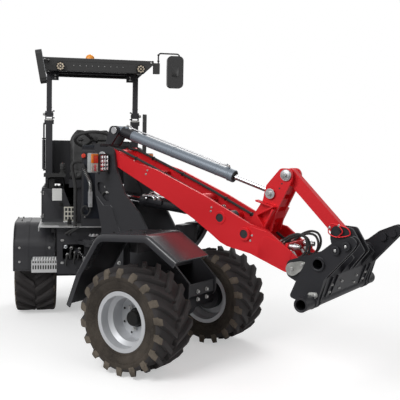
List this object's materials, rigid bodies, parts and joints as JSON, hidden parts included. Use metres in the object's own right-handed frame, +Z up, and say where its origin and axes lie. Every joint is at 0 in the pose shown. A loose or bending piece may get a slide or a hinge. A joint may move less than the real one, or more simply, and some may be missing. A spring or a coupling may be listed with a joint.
{
  "type": "compact articulated wheel loader",
  "caption": "Compact articulated wheel loader with lift boom, tool coupler, open operator platform, folding roll bar with roof and four lug-tyred wheels.",
  "frame": {"origin": "middle of the machine's floor area at ground level", "axes": "+X along the rear frame, towards its front; +Y to the machine's left; +Z up"},
  "size_m": [3.788, 2.8323, 2.5],
  "materials": {
    "frame_black": "satin black paint",
    "hood_black": "black moulded cover",
    "boom_red": "gloss red paint",
    "coupler_black": "gloss black paint",
    "pin_steel": "turned steel",
    "tyre_rubber": "dusty black rubber",
    "rim_silver": "silver paint",
    "fender_plastic": "black moulded plastic",
    "checker_plate": "checker plate",
    "barrel_grey": "grey enamel",
    "barrel_black": "gloss black paint",
    "rod_chrome": "hard chrome",
    "seat_vinyl": "black vinyl",
    "wheel_plastic": "grained black plastic",
    "hose_rubber": "black hose rubber",
    "lamp_lens": "clear lens",
    "cluster_red": "red and amber lens",
    "beacon_amber": "amber dome"
  },
  "bodies": {
    "rear": {"rear_frame": "frame_black", "rear_axle": "frame_black", "engine": "frame_black", "counterweight": "frame_black", "tail_lamps": "cluster_red", "rear_fenders": "fender_plastic", "floor_plate": "checker_plate", "steps": "checker_plate", "side_box_right": "frame_black", "side_box_left": "frame_black", "seat_base": "frame_black", "seat_cushion": "seat_vinyl", "seat_back": "seat_vinyl", "armrests": "hood_black", "console": "frame_black", "console_hoses": "hose_rubber", "hose_fitting": "pin_steel", "steering_wheel": "wheel_plastic", "rops_lower": "frame_black", "seat_guard": "frame_black"},
    "rops": {"rops_upper": "frame_black", "roof": "hood_black", "beacon": "beacon_amber", "work_lamps": "lamp_lens", "mirrors": "hood_black"},
    "hood": {"hood": "hood_black"},
    "front": {"front_frame": "frame_black", "front_axle": "frame_black", "front_fenders": "fender_plastic", "head_lamps": "hood_black", "head_lenses": "lamp_lens", "light_clusters": "cluster_red"},
    "boom": {"boom": "boom_red", "boom_hoses": "hose_rubber", "quick_couplings": "pin_steel"},
    "lever_pin": {"lever_pin": "pin_steel"},
    "lever": {"lever": "boom_red"},
    "link_pin": {"link_pin": "pin_steel"},
    "link": {"tilt_link": "boom_red"},
    "coupler_pin": {"coupler_pin": "pin_steel"},
    "coupler": {"coupler": "coupler_black"},
    "tilt_barrel": {"tilt_barrel": "barrel_grey"},
    "tilt_rod": {"tilt_rod": "rod_chrome"},
    "lift_barrel": {"lift_barrel": "barrel_black"},
    "lift_rod": {"lift_rod": "rod_chrome"},
    "steer_barrel": {"steer_barrel": "barrel_black"},
    "steer_rod": {"steer_rod": "rod_chrome"},
    "wheel_front_left": {"tyre_front_left": "tyre_rubber", "rim_front_left": "rim_silver"},
    "wheel_front_right": {"tyre_front_right": "tyre_rubber", "rim_front_right": "rim_silver"},
    "wheel_rear_left": {"tyre_rear_left": "tyre_rubber", "rim_rear_left": "rim_silver"},
    "wheel_rear_right": {"tyre_rear_right": "tyre_rubber", "rim_rear_right": "rim_silver"}
  },
  "joints": [
    {"name": "articulation", "type": "hinge", "parent": "rear", "child": "front", "pos_m": [-0.22396, -0.6739, 0.595], "axis": [0, 0, 1], "range_deg": [-89.9, 0.1]},
    {"name": "wheel_front_left_roll", "type": "hinge", "parent": "front", "child": "wheel_front_left", "pos_m": [0.05359, 0.34668, 0.393], "axis": [-0.7059, 0.7083, 0], "continuous": true},
    {"name": "wheel_rear_left_roll", "type": "hinge", "parent": "rear", "child": "wheel_rear_left", "pos_m": [-1.14296, -0.1469, 0.393], "axis": [0, 1, 0], "continuous": true},
    {"name": "wheel_front_right_roll", "type": "hinge", "parent": "front", "child": "wheel_front_right", "pos_m": [0.79758, -0.39991, 0.393], "axis": [-0.7059, 0.7083, 0], "continuous": true},
    {"name": "wheel_rear_right_roll", "type": "hinge", "parent": "rear", "child": "wheel_rear_right", "pos_m": [-1.14296, -1.2009, 0.393], "axis": [0, 1, 0], "continuous": true},
    {"name": "boom_lift", "type": "hinge", "parent": "front", "child": "boom", "pos_m": [-0.02917, -0.47979, 1.55], "axis": [0.7059, -0.7083, 0], "range_deg": [-18, 55]},
    {"name": "lever_level", "type": "hinge", "parent": "boom", "child": "lever_pin", "pos_m": [0.91363, 0.45973, 1.036], "axis": [0.7059, -0.7083, 0], "range_deg": [-35.05, 11.54]},
    {"name": "lever_swing", "type": "hinge", "parent": "lever_pin", "child": "lever", "pos_m": [0.91363, 0.45973, 1.036], "axis": [0.7059, -0.7083, 0], "range_deg": [-15.26, 37.41]},
    {"name": "link_level", "type": "hinge", "parent": "lever", "child": "link_pin", "pos_m": [1.10418, 0.64961, 1.461], "axis": [0.7059, -0.7083, 0], "range_deg": [-7.26, 21.97]},
    {"name": "link_swing", "type": "hinge", "parent": "link_pin", "child": "link", "pos_m": [1.10418, 0.64961, 1.461], "axis": [0.7059, -0.7083, 0], "range_deg": [-33.99, 13.9]},
    {"name": "coupler_level", "type": "hinge", "parent": "boom", "child": "coupler_pin", "pos_m": [1.19201, 0.73714, 0.837], "axis": [0.7059, -0.7083, 0], "range_deg": [-52.75, 17.6]},
    {"name": "coupler_tilt", "type": "hinge", "parent": "coupler_pin", "child": "coupler", "pos_m": [1.19201, 0.73714, 0.837], "axis": [-0.7059, 0.7083, 0], "range_deg": [-50, 20]},
    {"name": "tilt_barrel_pivot", "type": "hinge", "parent": "front", "child": "tilt_barrel", "pos_m": [-0.02208, -0.47273, 1.768], "axis": [0.7059, -0.7083, 0], "range_deg": [-17.63, 52.83]},
    {"name": "tilt_rod_slide", "type": "slide", "parent": "tilt_barrel", "child": "tilt_rod", "axis": [0.6785, 0.6761, -0.2874], "range_m": [-0.2175, 0.0882]},
    {"name": "lift_barrel_pivot", "type": "hinge", "parent": "boom", "child": "lift_barrel", "pos_m": [0.76347, 0.31008, 1.135], "axis": [0.7059, -0.7083, 0], "range_deg": [-2.91, 1.29]},
    {"name": "lift_rod_slide", "type": "slide", "parent": "lift_barrel", "child": "lift_rod", "axis": [-0.7061, -0.7037, 0.0793], "range_m": [-0.10006, 0.30162]},
    {"name": "steer_barrel_pivot", "type": "hinge", "parent": "rear", "child": "steer_barrel", "pos_m": [-0.78396, -0.8789, 0.695], "axis": [0, 0, 1], "range_deg": [-13.54, 0.51]},
    {"name": "steer_rod_slide", "type": "slide", "parent": "steer_barrel", "child": "steer_rod", "axis": [0.9853, 0.1709, 0], "range_m": [-0.28, 0.00231]},
    {"name": "rops_fold", "type": "hinge", "parent": "rear", "child": "rops", "pos_m": [-0.84396, -0.6739, 1.925], "axis": [0, -1, 0], "range_deg": [0, 95]},
    {"name": "hood_open", "type": "hinge", "parent": "rear", "child": "hood", "pos_m": [-1.02396, -0.6739, 1.3], "axis": [0, -1, 0], "range_deg": [-60, 0]}
  ],
  "couplings": [
    {"joint": "lever_level", "follows": "boom_lift", "ratio": -0.6355},
    {"joint": "lever_swing", "follows": "coupler_tilt", "ratio": -0.7382},
    {"joint": "link_level", "follows": "boom_lift", "ratio": 0.3977},
    {"joint": "link_swing", "follows": "coupler_tilt", "ratio": 0.6699},
    {"joint": "coupler_level", "follows": "boom_lift", "ratio": -0.95},
    {"joint": "tilt_barrel_pivot", "follows": "boom_lift", "ratio": 0.9515},
    {"joint": "tilt_rod_slide", "follows": "coupler_tilt", "m_per_rad": 0.24694},
    {"joint": "lift_barrel_pivot", "follows": "boom_lift", "ratio": -0.043757},
    {"joint": "lift_rod_slide", "follows": "boom_lift", "m_per_rad": 0.31212},
    {"joint": "steer_barrel_pivot", "follows": "articulation", "ratio": 0.145},
    {"joint": "steer_rod_slide", "follows": "articulation", "m_per_rad": 0.17718}
  ]
}
